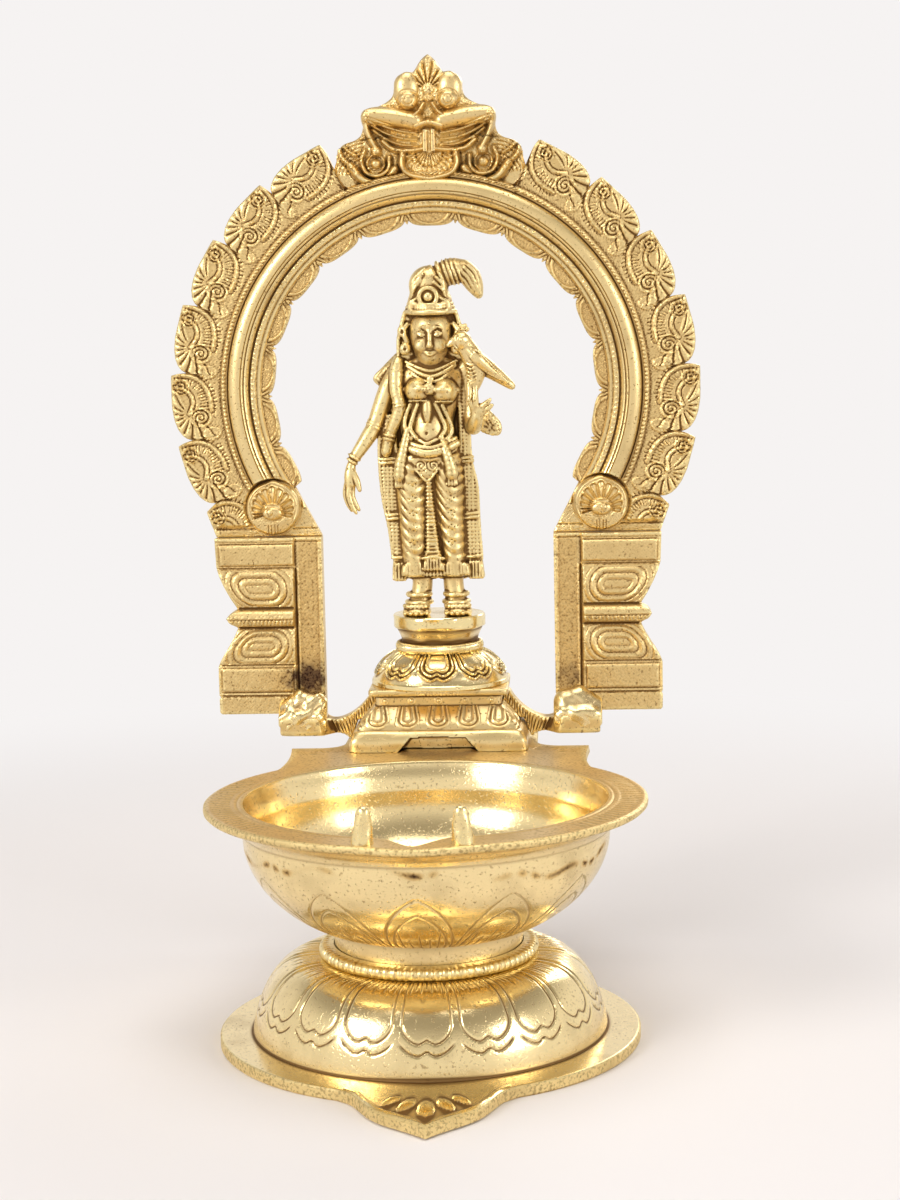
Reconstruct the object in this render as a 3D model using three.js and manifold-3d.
// Cast brass oil lamp with an arch, pillars and a standing figure. Millimetres, +Z up, front is -Y.
// All pieces are placed from the bowl's upright axis; the group shifts them over the middle of the footprint.
import * as THREE from 'three';
import { mergeVertices } from 'three/addons/utils/BufferGeometryUtils.js';
import Module from 'manifold-3d';

// Fits and cuts
const fitGap = 0.3;
const cutOverrun = 6;
const weldTolerance = 0.0005;
const roundSides = 40;
const curveSteps = 5;
const smallSides = 16;

// Foot
const footFlangeRadius = 64;
const footFlangeThickness = 3.5;
const footDomeRadius = 54;
const footNeckRadius = 32;
const footHeight = 26;
const footWall = 4.5;
const footDomeSteps = 6;
const footDomeRadiusPower = 0.62;
const footDomeHeightPower = 1.45;
const leafReach = 90.5;
const leafRootHalfWidth = 24;
const leafBellyHalfWidth = 16;
const leafBellyReach = 74.5;
const leafTipHalfWidth = 7.4;
const leafTipReach = 83.5;

// Neck ring between foot and bowl
const neckRingOuterRadius = 33.4;
const neckRingHeight = 3.8;
const neckRingRibs = 30;
const neckRingRibDepth = 0.5;
const neckRingBandShares = [0.35, 0.65];

// Bowl
const bowlRingRadius = 28.6;
const bowlRingWall = 4;
const bowlRingHeight = 9;
const bowlHeight = 48;
const bowlWall = 3.4;
const bowlWallTopRadius = 55.6;
const bowlRadiusPower = 1.5;
const bowlHeightPower = 0.93;
const bowlCurveSteps = 7;
const bowlFloorDish = 1.6;
const rimRadius = 67;
const rimOpeningRadius = 55;
const rimThickness = 2.4;
const rimFlareHeight = 6.2;
const rimFlareRootShare = 0.25;
const spoutReach = 65;
const spoutHalfWidth = 9.5;
const spoutLipReach = 69.2;
const spoutLipHalfWidth = 16;
const spoutSlope = 1.7;
const bossRadius = 9;
const bossDrop = 6;

// Shelf behind the bowl
const shelfThickness = 4;
const earHalfWidth = 50.8;
const earWaistHalfWidth = 49.4;
const earRootReach = 44;
const earReach = 83;
const tongueHalfWidth = 33;
const tongueFillet = 8;
const tongueMargin = 1.2;

// Wick pegs
const pegSpacing = 27.7;
const pegReach = 61.8;
const pegHeight = 10.6;
const pegBaseRadius = 3.2;
const pegTopRadius = 2;
const pegCrownShare = 0.7;

// Centre bolt, washer and nut
const boltRadius = 1.6;
const boltTail = 9;
const boltSocketDepth = 6.5;
const washerRadius = 6;
const washerThickness = 1.4;
const nutAcrossCorners = 8;
const nutThickness = 4.6;
const nutSides = 6;

// Pedestal
const pedestalFrontReach = 70;
const pedestalDepth = 50.4;
const stepBottomWidth = 60;
const stepTopWidth = 56;
const stepHeight = 7;
const lotusFaceBottomWidth = 54;
const lotusFaceTopWidth = 43.4;
const lotusFaceHeight = 7.2;
const fasciaWidth = 42.4;
const fasciaHeight = 3.6;
const slabWidth = 47.2;
const slabThickness = 2.2;
const pedestalWall = 3.2;
const notchBottomWidth = 27;
const notchTopWidth = 18.4;
const notchHeight = 4.9;
const screwPostRadius = 4;
const screwPostSpacing = 34;
const screwRadius = 1.7;
const screwDepth = 8;
const screwHeadRadius = 3.4;
const screwHeadThickness = 1.8;
const screwHeadEdgeShare = 0.8;

// Lotus plinth
const lotusBaseRadius = 23.5;
const lotusBaseThickness = 1.8;
const lotusTopRadius = 14.2;
const lotusHeight = 11;
const lotusBulge = 2.4;
const beadRingRadius = 15.1;
const beadRingHeight = 3.4;
const drumWaistRadius = 12.9;
const drumFlareRadius = 14.8;
const drumRadius = 15.7;
const drumTaperHeight = 4.8;
const drumBandHeight = 4.5;
const rivetRadius = 2.4;
const rivetLength = 9;
const rivetHeadRadius = 4.4;
const rivetHeadThickness = 2;
const rivetHeadEdgeShare = 0.6;

// Pillars
const pillarTopZ = 144.8;
const pillarBottomZ = 84.1;
const pillarInnerX = 39.5;
const pillarFrameX = 48.5;
const pillarOuterX = 75.9;
const pillarThickness = 6.4;
const pillarReliefThickness = 8.6;
const pillarRidgeThickness = 11;
const pillarPanelHeight = 12.5;
const pillarNeckX = 68.8;
const pillarRidgeX = 72.4;
const pillarRidgeCentreZ = 117.3;
const pillarRidgeHeight = 5.8;
const pillarRidgeShoulder = 0.6;
const pillarRidgeShoulderShare = 0.2;
const pillarSoftEdge = 0.9;
const pillarSkirtRise = 2.1;
const pillarFlareRise = 2.7;
const pillarPlinthHeight = 16.3;
const pillarStripHeight = 6.6;

// Arch band
const archCentreZ = 194.3;
const archBackInset = 3.6;
const fringeThickness = 3.2;
const scallopKnotRadius = 57;
const scallopLobeRadius = 54.4;
const scallopPitch = 16.7;
const scallopCount = 15;
const scallopKnotDepthShare = 0.7;
const scallopKnotShares = [0.3, 1.7];
const innerStepRadius = 58.8;
const mouldingRadius = 63;
const mouldingThickness = 5;
const torusOuterRadius = 70;
const torusThickness = 7.6;
const torusShoulderShare = 0.78;
const beadLineRadius = 72.4;
const beadLineThickness = 4.2;
const leafNotchRadius = 84.6;
const leafCrownRadius = 89.8;
const leafCount = 6;
const leafPitch = 15.5;
const leafStartAngle = -26.5;
const archFootInnerX = 47.6;
const archFootInnerZ = 160.2;
const archSteps = 52;
const leafEdgeShares = [[0, 0], [0.06, 0.62], [0.2, 0.9], [0.42, 1], [0.66, 0.84], [0.86, 0.42]];

// Crest
const crestHeight = 38.3;
const crestHalfAngle = 23.5;
const crestHalfWidth = 32;
const crestPlateThickness = 3.4;
const crestReliefThickness = 6;
const crestSideRadius = 84;
const crestEyeRadius = 3;
const crestEyeSpacing = 12.8;
const crestEyeDrop = 14.6;
const crestVoluteRadius = 6.3;
const crestVoluteSpacing = 35;
const crestVoluteDrop = 35.4;
const crestOutlineShares = [
  [0.97, 0.83], [0.89, 0.88], [0.765, 0.82], [0.7, 0.745], [0.68, 0.575], [0.56, 0.52],
  [0.44, 0.475], [0.365, 0.4], [0.355, 0.26], [0.265, 0.185], [0.155, 0.168], [0.1, 0.09], [0, 0],
];
const crestMouthShares = [[-0.6, 0.55], [-0.3, 0.66], [0, 0.7], [0.3, 0.66], [0.6, 0.55], [0.52, 0.8], [0.3, 0.92],
  [0, 0.96], [-0.3, 0.92], [-0.52, 0.8]];
const crestBrowShares = [[0.05, 0.6], [0.12, 0.42], [0.36, 0.5], [0.63, 0.52], [0.4, 0.64], [0.2, 0.66]];
const crestFinialShares = [[0, 0.02], [0.1, 0.11], [0.13, 0.22], [0.06, 0.32], [-0.06, 0.32], [-0.13, 0.22], [-0.1, 0.11]];
const crestBeardHalfWidth = 9.6;
const crestBeardDepth = 9;
const crestToothWidth = 2.4;
const crestToothHeight = 7;
const crestNoseRadius = 2.6;
const crestNoseDropShare = 0.56;
const crestLipDropShare = 0.7;
const crestBeardDropShare = 0.95;
const crestToothPlaceShare = 0.6;
const crestEyeBulgeShare = 1.4;

// Rosettes at the feet of the arch
const rosetteRadius = 9.5;
const rosetteX = 55.8;
const rosetteThickness = 5.6;
const rosetteFlutes = 9;
const rosetteFluteRadius = 1.5;
const rosetteFluteReachShare = 0.68;
const rosetteBudRadius = 3;
const rosetteFrontShare = 0.78;

// Arms, pads and brazing
const armThickness = 7;
const armTopZ = 81.6;
const armSweepX = 36;
const padHalfLengthX = 9.4;
const padOuterX = 54.4;
const padBottomZ = 77;
const padDepth = 19;
const padRearReach = 4.4;
const brazeHeight = 8.6;
const brazeLumpRadius = 3.6;
const brazeWaveTurn = 2.4;
const brazeWidthShare = 1.15;
const brazeLiftShare = 0.35;
const brazeTallShare = 0.55;
const brazeOuterX = 58;

// Standing figure: every table below holds shares of this height
const figureHeight = 121.4;
const bodySides = 10;
const limbSides = 8;
const limbEndShare = 0.6;
const ballRowShare = 0.6;
const mantleShares = [
  [0.1, 0, 0.035, 0.137, 0.022], [0.22, 0, 0.035, 0.137, 0.024], [0.4, -0.003, 0.033, 0.146, 0.024],
  [0.5, -0.006, 0.03, 0.138, 0.024], [0.6, -0.01, 0.028, 0.124, 0.022], [0.68, -0.012, 0.026, 0.086, 0.018],
];
const legShares = [
  [0.1, 0, -0.014, 0.05, 0.05], [0.2, 0, -0.016, 0.05, 0.056], [0.32, 0, -0.018, 0.056, 0.062],
  [0.42, 0, -0.016, 0.058, 0.064], [0.475, 0, -0.01, 0.046, 0.05],
];
const hemShares = [[0.098, 0, 0, 0.098, 0.06], [0.125, 0, 0, 0.082, 0.05]];
const torsoShares = [
  [0.43, 0, 0, 0.104, 0.068], [0.47, 0, -0.002, 0.098, 0.066], [0.535, -0.004, -0.002, 0.068, 0.05],
  [0.6, -0.006, -0.004, 0.078, 0.056], [0.645, -0.006, 0, 0.098, 0.054], [0.675, -0.006, 0.002, 0.084, 0.044],
  [0.69, -0.006, 0, 0.036, 0.036], [0.735, -0.006, -0.004, 0.034, 0.036],
];
const breastShares = [[-0.045, -0.05, 0.622, 0.034], [0.033, -0.05, 0.622, 0.034]];
const headShare = [-0.008, -0.006, 0.785, 0.06, 0.064, 0.082];
const hairShares = [[-0.008, 0.014, 0.815, 0.072, 0.07, 0.075], [-0.014, 0.006, 0.91, 0.044, 0.046, 0.05]];
const diademShares = [[0.828, -0.008, -0.002, 0.073, 0.073], [0.85, -0.008, -0.002, 0.074, 0.073],
  [0.885, -0.01, 0, 0.05, 0.056]];
const jewelShare = [-0.01, -0.07, 0.87, 0.022, 0.018, 0.03];
const knotShare = [0.05, 0.006, 0.944, 0.036, 0.036, 0.052];
const knotRingShare = [0.024, 0.006, 0.938, 0.022, 0.04, 0.056];
const tuftShares = [[0.082, 0.008, 0.955, 0.03], [0.108, 0.008, 0.935, 0.024], [0.13, 0.008, 0.89, 0.008]];
const earShares = [[-0.082, 0.004, 0.8, 0.02, 0.03, 0.05], [-0.084, -0.006, 0.73, 0.018, 0.024, 0.03],
  [0.07, 0.008, 0.8, 0.022, 0.03, 0.05], [0.074, 0.01, 0.73, 0.018, 0.024, 0.03]];
const plaitShares = [[-0.098, -0.03, 0.69, 0.02], [-0.094, -0.05, 0.6, 0.02], [-0.105, -0.045, 0.52, 0.016],
  [-0.125, -0.02, 0.465, 0.014]];
const freeArmShares = [[-0.112, 0, 0.65, 0.034], [-0.162, -0.015, 0.515, 0.026], [-0.226, -0.04, 0.438, 0.018]];
const freeHandShares = [[-0.232, -0.045, 0.425, 0.018], [-0.262, -0.05, 0.372, 0.015], [-0.262, -0.05, 0.325, 0.011],
  [-0.238, -0.05, 0.284, 0.006]];
const freeThumbShares = [[-0.232, -0.05, 0.42, 0.011], [-0.222, -0.055, 0.375, 0.009]];
const heldArmShares = [[0.1, 0, 0.65, 0.034], [0.118, -0.015, 0.515, 0.03], [0.118, -0.075, 0.53, 0.023],
  [0.136, -0.09, 0.575, 0.019], [0.168, -0.09, 0.6, 0.009]];
const flapShares = [
  [[-0.118, 0.67], [-0.186, 0.6], [-0.172, 0.575], [-0.112, 0.61]],
  [[0.118, 0.52], [0.172, 0.545], [0.196, 0.495], [0.186, 0.475], [0.128, 0.478]],
];
const flapThicknessShare = 0.03;
const flapFrontShare = 0.01;
const beltShares = [[0.445, 0, -0.006, 0.094, 0.074], [0.475, 0, -0.006, 0.09, 0.072]];
const pleatShares = [[0.1, 0, -0.05, 0.024, 0.02], [0.3, 0, -0.045, 0.01, 0.018], [0.44, 0, -0.05, 0.016, 0.02]];
const ankleShares = [[0, 0, 0.125, 0.03], [0, 0, 0.06, 0.024], [0, -0.004, 0.03, 0.032]];
const footShare = [0, -0.03, 0.014, 0.042, 0.062, 0.03];
const legSpreadShares = [-0.062, 0.05];

// Parrot: shares of the figure's height
const parrotBodyShares = [[0.13, -0.088, 0.6, 0.014], [0.128, -0.078, 0.69, 0.03], [0.1, -0.084, 0.752, 0.026]];
const parrotTailShares = [[0.138, -0.07, 0.69, 0.022], [0.19, -0.06, 0.65, 0.018], [0.234, -0.056, 0.618, 0.009]];
const parrotBeakShares = [[0.1, -0.094, 0.756, 0.016], [0.056, -0.104, 0.75, 0.005]];

const wasm = await Module();
wasm.setup();

// Colours of polished, carved and hidden brass
const polishedBrass = { color: 0xd9ac4e, roughness: 0.18, metalness: 1 };
const carvedBrass = { color: 0xc49a4a, roughness: 0.38, metalness: 1 };
const dullBrass = { color: 0x9c7838, roughness: 0.6, metalness: 1 };
const steel = { color: 0x8c8c8a, roughness: 0.45, metalness: 1 };

// Places worked out from the sizes
const bowlBottomZ = footHeight + bowlRingHeight;
const rimTopZ = footHeight + bowlHeight;
const rimUnderZ = rimTopZ - rimThickness;
const bossBottomZ = bowlBottomZ - bossDrop;
const pedestalCentreY = pedestalFrontReach + pedestalDepth / 2;
const pedestalTopZ = rimTopZ + stepHeight + lotusFaceHeight + fasciaHeight + slabThickness;
const shelfBackY = pedestalFrontReach + pedestalDepth + tongueMargin;
const plinthRingZ = pedestalTopZ + lotusHeight;
const drumBottomZ = plinthRingZ + beadRingHeight;
const figureBaseZ = drumBottomZ + drumTaperHeight + drumBandHeight;
const archBackY = pedestalCentreY + archBackInset;
const archFrontY = archBackY - fringeThickness;
const pillarFrontY = archBackY - pillarThickness;
const padTopZ = pillarBottomZ - fitGap;
const toRadians = Math.PI / 180;

// Solids from closed geometries

function signedVolume(positions, triangles) {
  const a = new THREE.Vector3();
  const b = new THREE.Vector3();
  const c = new THREE.Vector3();
  let volume = 0;
  for (let i = 0; i < triangles.length; i += 3) {
    a.fromArray(positions, triangles[i] * 3);
    b.fromArray(positions, triangles[i + 1] * 3);
    c.fromArray(positions, triangles[i + 2] * 3);
    volume += a.dot(b.cross(c)) / 6;
  }
  return volume;
}

function toSolid(geometry) {
  const bare = geometry.clone();
  bare.deleteAttribute('normal');
  bare.deleteAttribute('uv');
  const merged = mergeVertices(bare, weldTolerance);
  const index = merged.index.array;
  const triangles = [];
  for (let i = 0; i < index.length; i += 3) {
    const corner = [index[i], index[i + 1], index[i + 2]];
    if (new Set(corner).size === 3) {
      triangles.push(...corner);
    }
  }
  const positions = merged.attributes.position.array;
  if (signedVolume(positions, triangles) < 0) {
    triangles.reverse();
  }
  const mesh = new wasm.Mesh({
    numProp: 3,
    vertProperties: new Float32Array(positions),
    triVerts: new Uint32Array(triangles),
  });
  return new wasm.Manifold(mesh);
}

function toGeometry(solid) {
  const mesh = solid.getMesh();
  const geometry = new THREE.BufferGeometry();
  geometry.setAttribute('position', new THREE.BufferAttribute(new Float32Array(mesh.vertProperties), 3));
  geometry.setIndex(Array.from(mesh.triVerts));
  geometry.computeVertexNormals();
  return geometry;
}

function join(solids) {
  return solids.reduce((whole, piece) => whole.add(piece));
}

function cut(solid, tools) {
  return tools.reduce((whole, tool) => whole.subtract(tool), solid);
}

function namedMesh(name, solid, finish) {
  const mesh = new THREE.Mesh(toGeometry(solid), new THREE.MeshStandardMaterial(finish));
  mesh.name = name;
  return mesh;
}

// Shapes shared by several pieces

function turned(profile, sides, x = 0, y = 0) {
  const points = profile.map(([radius, z]) => new THREE.Vector2(radius, z));
  const geometry = new THREE.LatheGeometry(points, sides);
  geometry.rotateX(Math.PI / 2);
  geometry.translate(x, y, 0);
  return toSolid(geometry);
}

function upright(radius, bottomZ, topZ, sides, x = 0, y = 0) {
  return turned([[0, bottomZ], [radius, bottomZ], [radius, topZ], [0, topZ]], sides, x, y);
}

function outline(points) {
  return new THREE.Shape(points.map(([x, y]) => new THREE.Vector2(x, y)));
}

function flatPlate(shape, bottomZ, thickness, steps = 12) {
  const geometry = new THREE.ExtrudeGeometry(shape, { depth: thickness, bevelEnabled: false, curveSegments: steps });
  geometry.translate(0, 0, bottomZ);
  return toSolid(geometry);
}

function standingPlate(shape, backY, thickness, steps = 12) {
  const geometry = new THREE.ExtrudeGeometry(shape, { depth: thickness, bevelEnabled: false, curveSegments: steps });
  geometry.rotateX(Math.PI / 2);
  geometry.translate(0, backY, 0);
  return toSolid(geometry);
}

function block(minimum, maximum) {
  const size = maximum.map((value, axis) => value - minimum[axis]);
  const geometry = new THREE.BoxGeometry(...size);
  geometry.translate(...maximum.map((value, axis) => (value + minimum[axis]) / 2));
  return toSolid(geometry);
}

function ellipsoid(centre, radii, sides = limbSides) {
  const geometry = new THREE.SphereGeometry(1, sides, Math.round(sides * ballRowShare));
  geometry.rotateX(Math.PI / 2);
  geometry.scale(...radii);
  geometry.translate(...centre);
  return toSolid(geometry);
}

function bentLimb(points, sides = limbSides) {
  const places = points.map(({ place }) => new THREE.Vector3(...place));
  const rings = points.map(({ radius }, i) => {
    const before = places[Math.max(i - 1, 0)];
    const after = places[Math.min(i + 1, places.length - 1)];
    return { place: places[i], along: after.clone().sub(before).normalize(), radius };
  });
  const first = rings[0];
  const last = rings[rings.length - 1];
  const endRing = ({ place, along, radius }, sign) => ({
    place: place.clone().addScaledVector(along, sign * radius * limbEndShare),
    along,
    radius: radius * limbEndShare,
  });
  rings.unshift(endRing(first, -1));
  rings.push(endRing(last, 1));
  const geometry = new THREE.CylinderGeometry(1, 1, 1, sides, rings.length - 1);
  const positions = geometry.attributes.position;
  const upwards = new THREE.Vector3(0, 1, 0);
  const turn = new THREE.Quaternion();
  for (let i = 0; i < positions.count; i += 1) {
    const { place, along, radius } = rings[Math.round((positions.getY(i) + 0.5) * (rings.length - 1))];
    turn.setFromUnitVectors(upwards, along);
    const offset = new THREE.Vector3(positions.getX(i), 0, positions.getZ(i));
    offset.multiplyScalar(radius).applyQuaternion(turn).add(place);
    positions.setXYZ(i, offset.x, offset.y, offset.z);
  }
  return toSolid(geometry);
}

function loft(sections, sides) {
  const geometry = new THREE.CylinderGeometry(1, 1, 1, sides, sections.length - 1);
  const positions = geometry.attributes.position;
  for (let i = 0; i < positions.count; i += 1) {
    const row = Math.round((positions.getY(i) + 0.5) * (sections.length - 1));
    const [z, centreX, centreY, halfWidth, halfDepth] = sections[row];
    const x = centreX + positions.getX(i) * halfWidth;
    const y = centreY - positions.getZ(i) * halfDepth;
    positions.setXYZ(i, x, y, z);
  }
  return toSolid(geometry);
}

function rectangleLoft(sections) {
  const geometry = new THREE.CylinderGeometry(1, 1, 1, 4, sections.length - 1, false, Math.PI / 4);
  const positions = geometry.attributes.position;
  const corner = Math.SQRT2;
  for (let i = 0; i < positions.count; i += 1) {
    const row = Math.round((positions.getY(i) + 0.5) * (sections.length - 1));
    const [z, width, depth] = sections[row];
    const x = positions.getX(i) * corner * width / 2;
    const y = pedestalCentreY - positions.getZ(i) * corner * depth / 2;
    positions.setXYZ(i, x, y, z);
  }
  return toSolid(geometry);
}

function mirrored(solid, side) {
  return side > 0 ? solid : solid.mirror([1, 0, 0]);
}

// Foot: a domed shell with a flat flange and a leaf tip to the front

function domeProfile(offset) {
  const points = [];
  for (let i = 0; i <= footDomeSteps; i += 1) {
    const turn = i / footDomeSteps * Math.PI / 2;
    const radiusSpan = footDomeRadius - footNeckRadius;
    const heightSpan = footHeight - footFlangeThickness;
    const radius = footNeckRadius + radiusSpan * Math.cos(turn) ** footDomeRadiusPower;
    const z = footFlangeThickness + heightSpan * Math.sin(turn) ** footDomeHeightPower;
    points.push([radius - offset, z - offset]);
  }
  return points;
}

function leafTip() {
  const shape = new THREE.Shape();
  const rootY = -Math.sqrt(footFlangeRadius ** 2 - leafRootHalfWidth ** 2);
  shape.moveTo(-leafRootHalfWidth, rootY);
  for (const side of [-1, 1]) {
    const belly = [side * leafBellyHalfWidth, -leafBellyReach];
    const tip = [side * leafTipHalfWidth, -leafTipReach];
    const shoulder = [side * (leafBellyHalfWidth + leafTipHalfWidth) / 2, -(leafBellyReach + leafTipReach) / 2];
    const flank = [side * (leafRootHalfWidth + leafBellyHalfWidth) / 2, -(footFlangeRadius + leafBellyReach) / 2];
    if (side < 0) {
      shape.quadraticCurveTo(flank[0], rootY, belly[0], belly[1]);
      shape.quadraticCurveTo(shoulder[0], -leafTipReach + fitGap, tip[0], tip[1]);
      shape.quadraticCurveTo(tip[0] / 2, -leafTipReach, 0, -leafReach);
    } else {
      shape.quadraticCurveTo(tip[0] / 2, -leafTipReach, tip[0], tip[1]);
      shape.quadraticCurveTo(shoulder[0], -leafTipReach + fitGap, belly[0], belly[1]);
      shape.quadraticCurveTo(flank[0], rootY, leafRootHalfWidth, rootY);
    }
  }
  shape.closePath();
  return flatPlate(shape, 0, footFlangeThickness, curveSteps);
}

function foot() {
  const outer = domeProfile(0);
  const inner = domeProfile(footWall).reverse().filter(([, z]) => z > 0);
  const topUnderZ = footHeight - footWall;
  const shell = turned([
    [boltRadius + fitGap, footHeight], [boltRadius + fitGap, topUnderZ],
    ...inner,
    [inner[inner.length - 1][0], 0],
    [footFlangeRadius, 0], [footFlangeRadius, footFlangeThickness],
    ...outer,
    [boltRadius + fitGap, footHeight],
  ], roundSides);
  const hollow = upright(inner[inner.length - 1][0], -cutOverrun, footFlangeThickness, roundSides);
  return shell.add(leafTip().subtract(hollow));
}

// Neck ring: a collar of upright ribs round the bowl's foot ring

function neckRing() {
  const sides = neckRingRibs * 2;
  const innerRadius = bowlRingRadius + fitGap;
  const middleRadius = (innerRadius + neckRingOuterRadius) / 2;
  const points = [
    [innerRadius, footHeight], [middleRadius, footHeight], [neckRingOuterRadius, footHeight + neckRingHeight * neckRingBandShares[0]],
    [neckRingOuterRadius, footHeight + neckRingHeight * neckRingBandShares[1]], [middleRadius, footHeight + neckRingHeight],
    [innerRadius, footHeight + neckRingHeight], [innerRadius, footHeight],
  ].map(([radius, z]) => new THREE.Vector2(radius, z));
  const geometry = new THREE.LatheGeometry(points, sides);
  const positions = geometry.attributes.position;
  for (let i = 0; i < positions.count; i += 1) {
    const radius = Math.hypot(positions.getX(i), positions.getZ(i));
    const column = Math.floor(i / points.length) % 2;
    const scale = column === 1 && radius > middleRadius + fitGap ? 1 - neckRingRibDepth / radius : 1;
    positions.setX(i, positions.getX(i) * scale);
    positions.setZ(i, positions.getZ(i) * scale);
  }
  geometry.rotateX(Math.PI / 2);
  return toSolid(geometry);
}

// Bowl: a turned shell with a flared rim, a spout notch and the shelf behind it

function bowlCurve(offset) {
  const points = [];
  const topZ = rimUnderZ - rimFlareHeight;
  for (let i = 1; i <= bowlCurveSteps; i += 1) {
    const turn = i / bowlCurveSteps * Math.PI / 2;
    const sine = Math.sin(turn) ** bowlRadiusPower;
    const cosine = Math.cos(turn) ** bowlHeightPower;
    const radius = bowlRingRadius + (bowlWallTopRadius - bowlRingRadius) * sine;
    const z = topZ - (topZ - bowlBottomZ) * cosine;
    points.push([radius - offset * sine, z + offset * cosine]);
  }
  return points;
}

function bowlShell() {
  const flareRadius = (bowlWallTopRadius + rimRadius) / 2;
  const socketTopZ = bossBottomZ + boltSocketDepth;
  const ringInnerRadius = bowlRingRadius - bowlRingWall;
  const floorZ = bowlBottomZ + bowlWall;
  return turned([
    [0, socketTopZ], [boltRadius + fitGap, socketTopZ], [boltRadius + fitGap, bossBottomZ],
    [bossRadius, bossBottomZ], [bossRadius, bowlBottomZ], [ringInnerRadius, bowlBottomZ],
    [ringInnerRadius, footHeight], [bowlRingRadius, footHeight], [bowlRingRadius, bowlBottomZ],
    ...bowlCurve(0),
    [flareRadius, rimUnderZ - rimFlareHeight * rimFlareRootShare], [rimRadius, rimUnderZ], [rimRadius, rimTopZ],
    [rimOpeningRadius, rimTopZ],
    ...bowlCurve(bowlWall).reverse(),
    [bowlRingRadius / 2, floorZ], [0, floorZ - bowlFloorDish + fitGap],
  ], roundSides);
}

function spoutLip() {
  const shape = new THREE.Shape();
  const rootY = -Math.sqrt(rimRadius ** 2 - spoutLipHalfWidth ** 2);
  const insideY = -(rimOpeningRadius + rimRadius) / 2;
  shape.moveTo(-spoutLipHalfWidth, insideY);
  shape.lineTo(-spoutLipHalfWidth, rootY);
  shape.quadraticCurveTo(-spoutLipHalfWidth / 2, -spoutLipReach, 0, -spoutLipReach);
  shape.quadraticCurveTo(spoutLipHalfWidth / 2, -spoutLipReach, spoutLipHalfWidth, rootY);
  shape.lineTo(spoutLipHalfWidth, insideY);
  shape.closePath();
  return flatPlate(shape, rimUnderZ, rimThickness, curveSteps);
}

function spoutCutter() {
  const rootY = -rimOpeningRadius + spoutHalfWidth / 2;
  const waistY = -(rimOpeningRadius + spoutReach) / 2;
  const shape = new THREE.Shape();
  shape.moveTo(-spoutHalfWidth, rootY);
  shape.quadraticCurveTo(-spoutHalfWidth / 2, waistY, 0, -spoutReach);
  shape.quadraticCurveTo(spoutHalfWidth / 2, waistY, spoutHalfWidth, rootY);
  shape.closePath();
  const depth = cutOverrun + rimThickness;
  const geometry = new THREE.ExtrudeGeometry(shape, { depth: depth * 2, bevelEnabled: false, curveSegments: curveSteps });
  geometry.translate(0, 0, -depth);
  geometry.applyMatrix4(new THREE.Matrix4().makeShear(0, 0, 0, 0, 0, -spoutSlope));
  geometry.translate(0, 0, rimTopZ);
  return toSolid(geometry);
}

function shelf() {
  const shape = new THREE.Shape();
  const insideY = earRootReach / 2;
  shape.moveTo(-earRootReach, insideY);
  shape.lineTo(earRootReach, insideY);
  shape.lineTo(earHalfWidth, earRootReach);
  shape.quadraticCurveTo(earWaistHalfWidth, (earRootReach + earReach) / 2, earHalfWidth, earReach);
  shape.lineTo(tongueHalfWidth + tongueFillet, earReach);
  shape.quadraticCurveTo(tongueHalfWidth, earReach, tongueHalfWidth, earReach + tongueFillet);
  shape.lineTo(tongueHalfWidth, shelfBackY);
  shape.lineTo(-tongueHalfWidth, shelfBackY);
  shape.lineTo(-tongueHalfWidth, earReach + tongueFillet);
  shape.quadraticCurveTo(-tongueHalfWidth, earReach, -tongueHalfWidth - tongueFillet, earReach);
  shape.lineTo(-earHalfWidth, earReach);
  shape.quadraticCurveTo(-earWaistHalfWidth, (earRootReach + earReach) / 2, -earHalfWidth, earRootReach);
  shape.closePath();
  return flatPlate(shape, rimTopZ - shelfThickness, shelfThickness, curveSteps);
}

function screwPlaces() {
  return [-screwPostSpacing / 2, screwPostSpacing / 2];
}

function bowl() {
  const opening = upright(rimOpeningRadius, rimTopZ - shelfThickness - cutOverrun, rimTopZ + cutOverrun, roundSides);
  const holes = screwPlaces().map((x) => upright(
    screwRadius + fitGap, rimTopZ - shelfThickness - cutOverrun, rimTopZ + cutOverrun, smallSides, x, pedestalCentreY));
  const rear = cut(shelf(), [opening, ...holes]);
  return join([bowlShell(), spoutLip(), rear]).subtract(spoutCutter());
}

// Wick pegs: tapered pegs with a rounded head

function wickPeg(side) {
  const topZ = rimTopZ + pegHeight;
  const profile = [
    [0, rimTopZ], [pegBaseRadius, rimTopZ], [pegTopRadius, topZ - pegTopRadius],
    [pegTopRadius * pegCrownShare, topZ - pegTopRadius * (1 - pegCrownShare)], [0, topZ],
  ];
  return turned(profile, 14, side * pegSpacing / 2, -pegReach);
}

// Bolt, washer and nut that hold the bowl on the foot

function centreBolt() {
  const bottomZ = footHeight - footWall - boltTail;
  const topZ = bossBottomZ + boltSocketDepth - fitGap;
  return upright(boltRadius, bottomZ, topZ, smallSides);
}

function ringed(outerRadius, holeRadius, bottomZ, topZ, sides) {
  return turned([
    [holeRadius, bottomZ], [outerRadius, bottomZ], [outerRadius, topZ], [holeRadius, topZ], [holeRadius, bottomZ],
  ], sides);
}

function boltWasher() {
  const topZ = footHeight - footWall;
  return ringed(washerRadius, boltRadius + fitGap, topZ - washerThickness, topZ, smallSides);
}

function boltNut() {
  const topZ = footHeight - footWall - washerThickness;
  const body = upright(nutAcrossCorners / 2, topZ - nutThickness, topZ, nutSides);
  const bore = upright(boltRadius + fitGap, topZ - nutThickness - cutOverrun, topZ + cutOverrun, smallSides);
  return body.subtract(bore);
}

// Pedestal: a stepped hollow box with a lotus face, a moulded slab and a notch in its front foot

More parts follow.
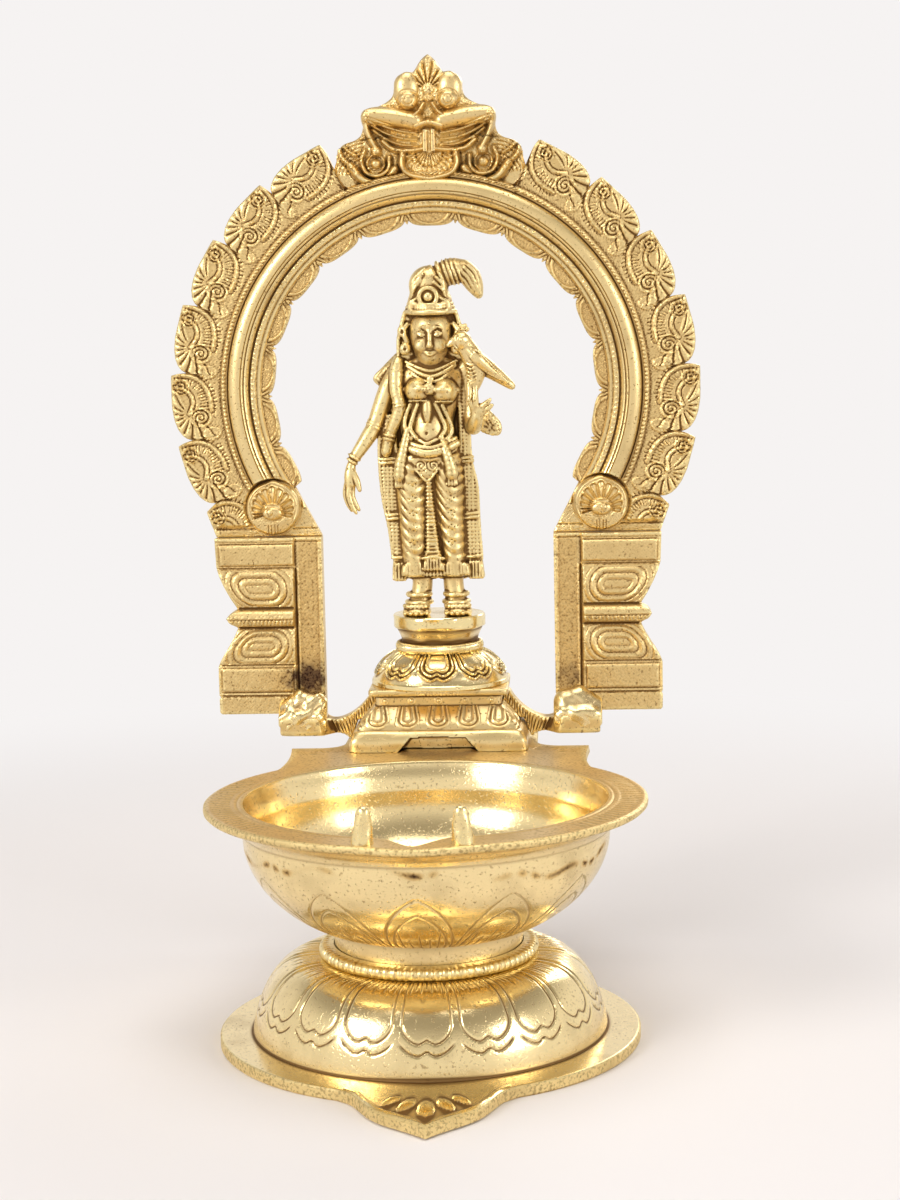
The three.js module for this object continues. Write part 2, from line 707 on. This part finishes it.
function pedestalSections(inset) {
  const depthOf = (width) => pedestalDepth - (stepBottomWidth - width) - inset * 2;
  const rows = [
    [rimTopZ, stepBottomWidth],
    [rimTopZ + stepHeight, stepTopWidth],
    [rimTopZ + stepHeight, lotusFaceBottomWidth],
    [rimTopZ + stepHeight + lotusFaceHeight, lotusFaceTopWidth],
    [rimTopZ + stepHeight + lotusFaceHeight, fasciaWidth],
    [pedestalTopZ - slabThickness, fasciaWidth],
    [pedestalTopZ - slabThickness, slabWidth],
    [pedestalTopZ, slabWidth],
  ];
  return rows.map(([z, width]) => [z, width - inset * 2, depthOf(width)]);
}

function pedestalHollow() {
  const rows = pedestalSections(pedestalWall).slice(0, 6);
  rows[0][0] -= cutOverrun;
  rows[5][0] = pedestalTopZ - pedestalWall;
  rows[4][0] = rows[3][0];
  return rectangleLoft(rows);
}

function pedestalNotch() {
  const shape = outline([
    [-notchBottomWidth / 2, rimTopZ], [notchBottomWidth / 2, rimTopZ],
    [notchTopWidth / 2, rimTopZ + notchHeight], [-notchTopWidth / 2, rimTopZ + notchHeight],
  ]);
  const notch = standingPlate(shape, pedestalFrontReach + pedestalWall * 2, pedestalWall * 2 + cutOverrun);
  const below = block(
    [-notchBottomWidth / 2, pedestalFrontReach - cutOverrun, rimTopZ - cutOverrun],
    [notchBottomWidth / 2, pedestalFrontReach + pedestalWall * 2, rimTopZ]);
  return notch.add(below);
}

function pedestal() {
  const shell = rectangleLoft(pedestalSections(0)).subtract(pedestalHollow());
  const postTopZ = rimTopZ + screwDepth + pedestalWall;
  const posts = screwPlaces().map((x) => upright(screwPostRadius, rimTopZ, postTopZ, smallSides, x, pedestalCentreY));
  const webs = screwPlaces().map((x) => {
    const wallX = Math.sign(x) * (stepBottomWidth / 2 - pedestalWall);
    return block(
      [Math.min(x, wallX), pedestalCentreY - screwRadius, rimTopZ],
      [Math.max(x, wallX), pedestalCentreY + screwRadius, rimTopZ + stepHeight]);
  });
  const holes = screwPlaces().map((x) => upright(
    screwRadius + fitGap, rimTopZ - cutOverrun, rimTopZ + screwDepth, smallSides, x, pedestalCentreY));
  const rivetHole = upright(
    rivetRadius + fitGap, pedestalTopZ - pedestalWall - cutOverrun, pedestalTopZ + cutOverrun, smallSides, 0,
    pedestalCentreY);
  return cut(join([shell, ...posts, ...webs]), [...holes, rivetHole, pedestalNotch()]);
}

function shelfScrew(side) {
  const headTopZ = rimTopZ - shelfThickness;
  const profile = [
    [0, headTopZ - screwHeadThickness], [screwHeadRadius * screwHeadEdgeShare, headTopZ - screwHeadThickness],
    [screwHeadRadius, headTopZ - screwHeadThickness / 2], [screwHeadRadius, headTopZ], [screwRadius, headTopZ],
    [screwRadius, rimTopZ + screwDepth - fitGap], [0, rimTopZ + screwDepth - fitGap],
  ];
  return turned(profile, smallSides, side * screwPostSpacing / 2, pedestalCentreY);
}

// Lotus plinth: petalled cushion, bead ring and drum, with the rivet that holds it down

function lotusPlinth() {
  const slopeMiddleRadius = (lotusBaseRadius + lotusTopRadius) / 2 + lotusBulge;
  const slopeMiddleZ = pedestalTopZ + (lotusBaseThickness + lotusHeight) / 2;
  const beadMiddleZ = plinthRingZ + beadRingHeight / 2;
  const beadInset = beadRingHeight / 4;
  const profile = [
    [0, pedestalTopZ], [lotusBaseRadius, pedestalTopZ], [lotusBaseRadius, pedestalTopZ + lotusBaseThickness],
    [slopeMiddleRadius, slopeMiddleZ], [lotusTopRadius, plinthRingZ],
    [beadRingRadius - beadInset, plinthRingZ + fitGap], [beadRingRadius, beadMiddleZ - beadInset],
    [beadRingRadius, beadMiddleZ + beadInset], [beadRingRadius - beadInset, drumBottomZ - fitGap],
    [drumWaistRadius, drumBottomZ], [drumFlareRadius, drumBottomZ + drumTaperHeight],
    [drumRadius, drumBottomZ + drumTaperHeight + fitGap], [drumRadius, figureBaseZ], [0, figureBaseZ],
  ];
  const body = turned(profile, 36, 0, pedestalCentreY);
  const hole = upright(
    rivetRadius + fitGap, pedestalTopZ - cutOverrun, pedestalTopZ + rivetLength, smallSides, 0, pedestalCentreY);
  return body.subtract(hole);
}

function plinthRivet() {
  const headTopZ = pedestalTopZ - pedestalWall;
  const profile = [
    [0, headTopZ - rivetHeadThickness], [rivetHeadRadius * rivetHeadEdgeShare, headTopZ - rivetHeadThickness],
    [rivetHeadRadius, headTopZ - rivetHeadThickness / 3], [rivetHeadRadius, headTopZ], [rivetRadius, headTopZ],
    [rivetRadius, pedestalTopZ + rivetLength - fitGap], [0, pedestalTopZ + rivetLength - fitGap],
  ];
  return turned(profile, smallSides, 0, pedestalCentreY);
}

// Pillars: a plain inner strip and a carved outer half in stepped relief

function pillarCarvedOutline() {
  const panelZ = pillarTopZ - pillarPanelHeight;
  const ridgeTopZ = pillarRidgeCentreZ + pillarRidgeHeight / 2;
  const ridgeBottomZ = pillarRidgeCentreZ - pillarRidgeHeight / 2;
  const plinthZ = pillarBottomZ + pillarPlinthHeight;
  const vaseX = (pillarOuterX + pillarNeckX) / 2;
  const flareX = (pillarOuterX * 3 + pillarNeckX) / 4;
  return [
    [pillarFrameX, pillarBottomZ], [pillarOuterX - pillarSoftEdge, pillarBottomZ], [pillarOuterX, pillarBottomZ + pillarSkirtRise],
    [pillarOuterX, plinthZ], [flareX, plinthZ + pillarFlareRise], [pillarNeckX, ridgeBottomZ - pillarSoftEdge],
    [pillarNeckX, ridgeBottomZ], [pillarRidgeX - pillarRidgeShoulder, pillarRidgeCentreZ - pillarRidgeHeight * pillarRidgeShoulderShare],
    [pillarRidgeX, pillarRidgeCentreZ], [pillarRidgeX - pillarRidgeShoulder, pillarRidgeCentreZ + pillarRidgeHeight * pillarRidgeShoulderShare],
    [pillarNeckX, ridgeTopZ], [vaseX, (ridgeTopZ + panelZ) / 2], [flareX, panelZ],
    [pillarOuterX - fitGap, panelZ + pillarPanelHeight / 3], [pillarOuterX, pillarTopZ], [pillarFrameX, pillarTopZ],
  ];
}

function pillarBlock(fromZ, toZ, fromX, toX, thickness) {
  return block([fromX, archBackY - thickness, fromZ], [toX, archBackY, toZ]);
}

function pillarRight() {
  const carved = standingPlate(outline(pillarCarvedOutline()), archBackY, pillarReliefThickness);
  const strip = pillarBlock(pillarBottomZ, pillarTopZ, pillarInnerX, pillarFrameX + fitGap, pillarThickness);
  const ridge = new THREE.CylinderGeometry(
    pillarRidgeHeight / 2, pillarRidgeHeight / 2, pillarRidgeX - pillarFrameX - fitGap, 10);
  ridge.rotateZ(Math.PI / 2);
  ridge.translate(
    (pillarRidgeX + pillarFrameX) / 2, archBackY - pillarRidgeThickness + pillarRidgeHeight / 2, pillarRidgeCentreZ);
  const cutDepth = pillarReliefThickness - pillarThickness;
  const panels = [
    [pillarTopZ - pillarPanelHeight, pillarTopZ],
    [pillarBottomZ + pillarStripHeight, pillarBottomZ + pillarPlinthHeight],
  ].map(([fromZ, toZ]) => block(
    [pillarFrameX + cutDepth, archBackY - pillarReliefThickness - cutOverrun, fromZ + cutDepth / 2],
    [pillarOuterX - cutDepth, archBackY - pillarReliefThickness + fitGap * 2, toZ - cutDepth / 2]));
  return cut(join([carved, strip, toSolid(ridge)]), panels);
}

// Arch band: scalloped inner edge, stepped moulding, torus, bead line and a leaf fringe

function archPoint(radius, degrees) {
  return [radius * Math.cos(degrees * toRadians), archCentreZ + radius * Math.sin(degrees * toRadians)];
}

function leafEdge() {
  const points = [];
  for (let leaf = 0; leaf < leafCount; leaf += 1) {
    const upper = leafStartAngle + leafPitch * (leafCount - leaf);
    for (const [turn, rise] of leafEdgeShares) {
      const radius = leafNotchRadius + (leafCrownRadius - leafNotchRadius) * rise;
      points.push(archPoint(radius, upper - leafPitch * turn));
    }
  }
  points.push(archPoint(leafNotchRadius, leafStartAngle));
  return points;
}

function crestSaddle() {
  const points = [];
  const steps = 8;
  const first = 180 - (leafStartAngle + leafPitch * leafCount);
  const last = leafStartAngle + leafPitch * leafCount;
  for (let i = 0; i <= steps; i += 1) {
    points.push(archPoint(beadLineRadius, first + (last - first) * i / steps));
  }
  return points;
}

function scallopEdge() {
  const points = [];
  const half = scallopPitch / 2;
  const first = 90 - scallopPitch * scallopCount / 2;
  for (let i = 0; i < scallopCount; i += 1) {
    const start = first + scallopPitch * i;
    const depth = scallopKnotRadius - scallopLobeRadius;
    points.push(archPoint(scallopKnotRadius, start));
    points.push(archPoint(scallopKnotRadius - depth * scallopKnotDepthShare, start + half * scallopKnotShares[0]));
    points.push(archPoint(scallopLobeRadius, start + half));
    points.push(archPoint(scallopKnotRadius - depth * scallopKnotDepthShare, start + half * scallopKnotShares[1]));
  }
  points.push(archPoint(scallopKnotRadius, first + scallopPitch * scallopCount));
  return points.filter(([x, z]) => z > archFootInnerZ || Math.abs(x) > pillarOuterX);
}

function archOutline() {
  const right = leafEdge();
  const left = right.map(([x, z]) => [-x, z]).reverse();
  return [
    [-pillarInnerX, pillarTopZ], [-pillarOuterX, pillarTopZ],
    ...left,
    ...crestSaddle(),
    ...right,
    [pillarOuterX, pillarTopZ], [pillarInnerX, pillarTopZ],
    [archFootInnerX, archFootInnerZ],
    ...scallopEdge(),
    [-archFootInnerX, archFootInnerZ],
  ];
}

function archRing(profile) {
  const points = profile.map(([radius, y]) => new THREE.Vector2(radius, -y));
  const geometry = new THREE.LatheGeometry(points, archSteps);
  geometry.translate(0, archBackY, 0);
  geometry.translate(0, 0, archCentreZ);
  return toSolid(geometry);
}

function archMouldings() {
  const torusMiddle = (mouldingRadius + torusOuterRadius) / 2;
  const shoulder = torusThickness * torusShoulderShare;
  const quarter = (torusOuterRadius - mouldingRadius) / 4;
  const profile = [
    [innerStepRadius, 0], [beadLineRadius, 0], [beadLineRadius, beadLineThickness],
    [torusOuterRadius, beadLineThickness], [torusMiddle + quarter, shoulder], [torusMiddle, torusThickness],
    [torusMiddle - quarter, shoulder], [mouldingRadius, mouldingThickness],
    [(innerStepRadius + mouldingRadius) / 2, mouldingThickness],
    [(innerStepRadius + mouldingRadius) / 2, (mouldingThickness + fringeThickness) / 2],
    [innerStepRadius, (mouldingThickness + fringeThickness) / 2], [innerStepRadius, 0],
  ];
  const reach = leafCrownRadius + cutOverrun;
  const below = block([-reach, archBackY - reach, archCentreZ - reach], [reach, archBackY + reach, pillarTopZ]);
  return cut(archRing(profile), [below, archFootGap()]);
}

function archFootGap() {
  const between = [
    [-pillarInnerX, pillarTopZ - cutOverrun], [pillarInnerX, pillarTopZ - cutOverrun], [pillarInnerX, pillarTopZ],
    [archFootInnerX, archFootInnerZ], [-archFootInnerX, archFootInnerZ], [-pillarInnerX, pillarTopZ],
  ];
  return standingPlate(outline(between), archBackY + cutOverrun, torusThickness + 2 * cutOverrun);
}

function rosetteCentreZ() {
  return pillarTopZ + rosetteRadius + fitGap;
}

function rosetteSeat(side) {
  const geometry = new THREE.CylinderGeometry(rosetteRadius + fitGap, rosetteRadius + fitGap, torusThickness * 2, 24);
  geometry.translate(side * rosetteX, archFrontY - torusThickness, rosetteCentreZ());
  return toSolid(geometry);
}

function archBand() {
  const plate = standingPlate(outline(archOutline()), archBackY, fringeThickness);
  return cut(join([plate, archMouldings()]), [rosetteSeat(-1), rosetteSeat(1)]);
}

// Crest: a plate with the horned monster face, its eyes, mouth, teeth, beard and side volutes

function crestTopZ() {
  return archCentreZ + beadLineRadius + crestHeight;
}

function crestPoint([xShare, zShare]) {
  return [xShare * crestHalfWidth, crestTopZ() - zShare * crestHeight];
}

function crestOutline() {
  const seatRadius = beadLineRadius + fitGap;
  const steps = 8;
  const points = [];
  for (let i = 0; i <= steps; i += 1) {
    points.push(archPoint(seatRadius, 90 - crestHalfAngle + crestHalfAngle * 2 * i / steps));
  }
  points.push(archPoint(crestSideRadius, 90 + crestHalfAngle));
  const right = crestOutlineShares.map(crestPoint);
  const left = right.slice(0, -1).map(([x, z]) => [-x, z]);
  points.push(...left, ...right.slice().reverse());
  points.push(archPoint(crestSideRadius, 90 - crestHalfAngle));
  return points;
}

function crestRelief(shares, thickness) {
  return standingPlate(outline(shares.map(crestPoint)), archBackY, thickness);
}

function crestVolute(side) {
  const centreZ = crestTopZ() - crestVoluteDrop;
  const x = side * crestVoluteSpacing / 2;
  const frontY = archBackY - crestReliefThickness;
  const disc = new THREE.CylinderGeometry(crestVoluteRadius, crestVoluteRadius, crestReliefThickness, 18);
  disc.translate(x, archBackY - crestReliefThickness / 2, centreZ);
  const button = ellipsoid([x, frontY, centreZ], [crestVoluteRadius / 3, crestVoluteRadius / 4, crestVoluteRadius / 3]);
  return toSolid(disc).add(button);
}

function crest() {
  const plate = standingPlate(outline(crestOutline()), archBackY, crestPlateThickness);
  const frontY = archBackY - crestReliefThickness;
  const mouthZ = crestPoint([0, crestLipDropShare])[1];
  const beardZ = crestPoint([0, crestBeardDropShare])[1];
  const mirroredBrow = crestBrowShares.map(([x, z]) => [-x, z]).reverse();
  const pieces = [
    plate,
    crestRelief(crestMouthShares, crestReliefThickness),
    crestRelief(crestBrowShares, crestReliefThickness),
    crestRelief(mirroredBrow, crestReliefThickness),
    crestRelief(crestFinialShares, crestReliefThickness),
    ellipsoid([0, frontY, crestPoint([0, crestNoseDropShare])[1]], [crestNoseRadius, crestNoseRadius, crestNoseRadius * 2]),
    crestVolute(-1),
    crestVolute(1),
  ];
  for (const side of [-1, 1]) {
    const eye = [side * crestEyeSpacing / 2, archBackY - crestPlateThickness, crestTopZ() - crestEyeDrop];
    pieces.push(ellipsoid(eye, [crestEyeRadius, crestEyeRadius * crestEyeBulgeShare, crestEyeRadius], 12));
    const toothX = side * crestToothWidth * crestToothPlaceShare;
    pieces.push(block(
      [toothX - crestToothWidth / 2, frontY - crestToothWidth / 2, mouthZ - crestToothHeight],
      [toothX + crestToothWidth / 2, archBackY, mouthZ]));
  }
  const beard = new THREE.CylinderGeometry(crestBeardHalfWidth, crestBeardHalfWidth, crestReliefThickness, 20);
  beard.scale(1, 1, crestBeardDepth / crestBeardHalfWidth);
  beard.translate(0, archBackY - crestReliefThickness / 2, beardZ);
  const reach = crestBeardHalfWidth + cutOverrun;
  const lowerHalf = block([-reach, archBackY - reach, beardZ - reach], [reach, archBackY + reach, beardZ]);
  pieces.push(toSolid(beard).intersect(lowerHalf));
  const seat = new THREE.CylinderGeometry(
    beadLineRadius + fitGap, beadLineRadius + fitGap, crestReliefThickness * 4, archSteps);
  seat.translate(0, archBackY, archCentreZ);
  return join(pieces).subtract(toSolid(seat));
}

// Rosettes: shell bosses with flutes round a bud

function rosetteRight() {
  const centreZ = rosetteCentreZ();
  const half = rosetteThickness / 2;
  const dome = new THREE.CylinderGeometry(rosetteRadius, rosetteRadius * rosetteFrontShare, half, 20);
  dome.translate(rosetteX, archFrontY - half / 2, centreZ);
  const pieces = [toSolid(dome)];
  for (let i = 0; i < rosetteFlutes; i += 1) {
    const angle = Math.PI * (i / (rosetteFlutes - 1));
    const reach = rosetteRadius * rosetteFluteReachShare;
    const from = { place: [rosetteX, archFrontY - half, centreZ], radius: rosetteFluteRadius / 2 };
    const tip = [rosetteX + reach * Math.cos(angle), archFrontY - half, centreZ + reach * Math.sin(angle)];
    pieces.push(bentLimb([from, { place: tip, radius: rosetteFluteRadius }], 4));
  }
  const bud = [rosetteX, archFrontY - half, centreZ];
  pieces.push(ellipsoid(bud, [rosetteBudRadius, half, rosetteBudRadius]));
  return join(pieces);
}

// Arms with pads under the pillars, and the brazing on top of the pads

function armRight() {
  const gap = fitGap;
  const fasciaZ = rimTopZ + stepHeight + lotusFaceHeight;
  const stepZ = rimTopZ + stepHeight;
  const shape = new THREE.Shape();
  shape.moveTo(fasciaWidth / 2 + gap, pedestalTopZ - slabThickness - gap);
  shape.lineTo(slabWidth / 2, pedestalTopZ - slabThickness - gap);
  shape.quadraticCurveTo(stepTopWidth / 2, armTopZ + gap, armSweepX, armTopZ);
  shape.lineTo(padOuterX - padHalfLengthX, armTopZ);
  shape.lineTo(padOuterX - padHalfLengthX, padBottomZ);
  shape.lineTo(armSweepX, padBottomZ);
  shape.quadraticCurveTo(stepBottomWidth / 2 + gap * 4, padBottomZ, stepBottomWidth / 2 + gap * 3, rimTopZ + gap);
  shape.lineTo(stepBottomWidth / 2 + gap, rimTopZ + gap);
  shape.lineTo(stepTopWidth / 2 + gap, stepZ + gap);
  shape.lineTo(lotusFaceBottomWidth / 2 + gap, stepZ + gap);
  shape.lineTo(lotusFaceTopWidth / 2 + gap * 2, fasciaZ);
  shape.lineTo(fasciaWidth / 2 + gap, fasciaZ + gap);
  shape.closePath();
  const wing = standingPlate(shape, pedestalCentreY + armThickness / 2, armThickness, 6);
  const padFrontY = archBackY + padRearReach - padDepth;
  const pad = block(
    [pillarInnerX - gap * 4, padFrontY, padBottomZ], [padOuterX, archBackY + padRearReach, padTopZ]);
  return wing.add(pad);
}

function brazeRight() {
  const padFrontY = archBackY + padRearReach - padDepth;
  const lumps = [0, 1, 2, 3].map((i) => {
    const x = pillarInnerX + brazeLumpRadius + (padOuterX - pillarInnerX - brazeLumpRadius * 2) * i / 3;
    const wave = Math.cos(i * brazeWaveTurn);
    return ellipsoid(
      [x, pillarFrontY - brazeLumpRadius / 3, padTopZ + brazeHeight * brazeLiftShare],
      [brazeLumpRadius * brazeWidthShare, brazeLumpRadius * (1 + wave / 6), brazeHeight * (brazeTallShare + wave / 10)]);
  });
  const bounds = block(
    [pillarInnerX - brazeLumpRadius, padFrontY + fitGap, padTopZ],
    [brazeOuterX, pillarFrontY - fitGap, padTopZ + brazeHeight]);
  const bed = block(
    [pillarInnerX, padFrontY + brazeLumpRadius / 2, padTopZ],
    [padOuterX - fitGap, pillarFrontY - fitGap, padTopZ + brazeLumpRadius / 2]);
  const carvedFace = block(
    [pillarFrameX - fitGap, archBackY - pillarReliefThickness - fitGap, padTopZ - cutOverrun],
    [brazeOuterX + cutOverrun, archBackY, padTopZ + brazeHeight + cutOverrun]);
  return join([bed, ...lumps]).intersect(bounds).subtract(carvedFace);
}

// Standing figure, built from lofted bodies and tapered limbs

function scaledRow(row) {
  return row.map((value) => value * figureHeight);
}

function placed([x, y, z, ...rest]) {
  return [x, y + pedestalCentreY, z + figureBaseZ, ...rest];
}

function figureLoft(table, sides = bodySides, shiftShare = 0) {
  const sections = table.map((row) => {
    const [z, x, y, halfWidth, halfDepth] = scaledRow(row);
    return [z + figureBaseZ, x + shiftShare * figureHeight, y + pedestalCentreY, halfWidth, halfDepth];
  });
  return loft(sections, sides);
}

function figureBall(row, sides = limbSides) {
  const [x, y, z, rx, ry = rx, rz = rx] = placed(scaledRow(row));
  return ellipsoid([x, y, z], [rx, ry, rz], sides);
}

function figureLimb(table, grow = 0, shiftShare = 0) {
  const points = table.map((row) => {
    const [x, y, z, radius] = placed(scaledRow(row));
    return { place: [x + shiftShare * figureHeight, y, z], radius: radius + grow };
  });
  return bentLimb(points);
}

function shawlFlap(table) {
  const shape = outline(table.map((row) => {
    const [x, z] = scaledRow(row);
    return [x, z + figureBaseZ];
  }));
  const backY = pedestalCentreY + (flapFrontShare + flapThicknessShare) * figureHeight;
  return standingPlate(shape, backY, flapThicknessShare * figureHeight);
}

function figureFoot(shiftShare) {
  const [x, y, z, rx, ry, rz] = placed(scaledRow(footShare));
  const sole = ellipsoid([x + shiftShare * figureHeight, y, z], [rx, ry, rz], 10);
  return sole.add(figureLimb(ankleShares, 0, shiftShare));
}

function parrotSolid(grow) {
  return join([
    figureLimb(parrotBodyShares, grow),
    figureLimb(parrotTailShares, grow),
    figureLimb(parrotBeakShares, grow),
  ]);
}

function standingFigure() {
  const pieces = [
    figureLoft(mantleShares),
    figureLoft(hemShares),
    figureLoft(torsoShares),
    figureLoft(beltShares),
    figureLoft(pleatShares, 8),
    figureBall(headShare, 10),
    figureLoft(diademShares),
    figureBall(jewelShare),
    figureBall(knotShare),
    figureBall(knotRingShare),
    figureLimb(tuftShares),
    figureLimb(plaitShares),
    figureLimb(freeArmShares),
    figureLimb(freeHandShares),
    figureLimb(freeThumbShares),
    figureLimb(heldArmShares),
  ];
  pieces.push(...hairShares.map((row) => figureBall(row, 8)));
  pieces.push(...breastShares.map((row) => figureBall(row)));
  pieces.push(...earShares.map((row) => figureBall(row)));
  pieces.push(...flapShares.map(shawlFlap));
  for (const spread of legSpreadShares) {
    pieces.push(figureLoft(legShares, 10, spread));
    pieces.push(figureFoot(spread));
  }
  const reach = figureHeight;
  const above = block([-reach, pedestalCentreY - reach, figureBaseZ], [reach, pedestalCentreY + reach, crestTopZ()]);
  return join(pieces).intersect(above).subtract(parrotSolid(fitGap));
}

// Assembly

function lamp() {
  const group = new THREE.Group();
  const pillar = pillarRight();
  const braze = brazeRight();
  const arm = armRight();
  const rosette = rosetteRight();
  const pieces = [
    ['foot', foot(), polishedBrass],
    ['neck_bead_ring', neckRing(), carvedBrass],
    ['bowl', bowl(), polishedBrass],
    ['centre_bolt', centreBolt(), steel],
    ['bolt_washer', boltWasher(), steel],
    ['bolt_nut', boltNut(), steel],
    ['pedestal', pedestal(), carvedBrass],
    ['lotus_plinth', lotusPlinth(), polishedBrass],
    ['plinth_rivet', plinthRivet(), dullBrass],
    ['standing_figure', standingFigure(), carvedBrass],
    ['parrot', parrotSolid(0), carvedBrass],
    ['arch_band', archBand(), carvedBrass],
    ['crest', crest(), carvedBrass],
  ];
  for (const [label, side] of [['left', -1], ['right', 1]]) {
    pieces.push([`wick_peg_${label}`, wickPeg(side), polishedBrass]);
    pieces.push([`shelf_screw_${label}`, shelfScrew(side), steel]);
    pieces.push([`arm_${label}`, mirrored(arm, side), carvedBrass]);
    pieces.push([`pillar_${label}`, mirrored(pillar, side), carvedBrass]);
    pieces.push([`rosette_${label}`, mirrored(rosette, side), carvedBrass]);
    pieces.push([`braze_${label}`, mirrored(braze, side), dullBrass]);
  }
  for (const [name, solid, finish] of pieces) {
    group.add(namedMesh(name, solid, finish));
  }
  group.position.y = (leafReach - shelfBackY) / 2;
  return group;
}

export default lamp();
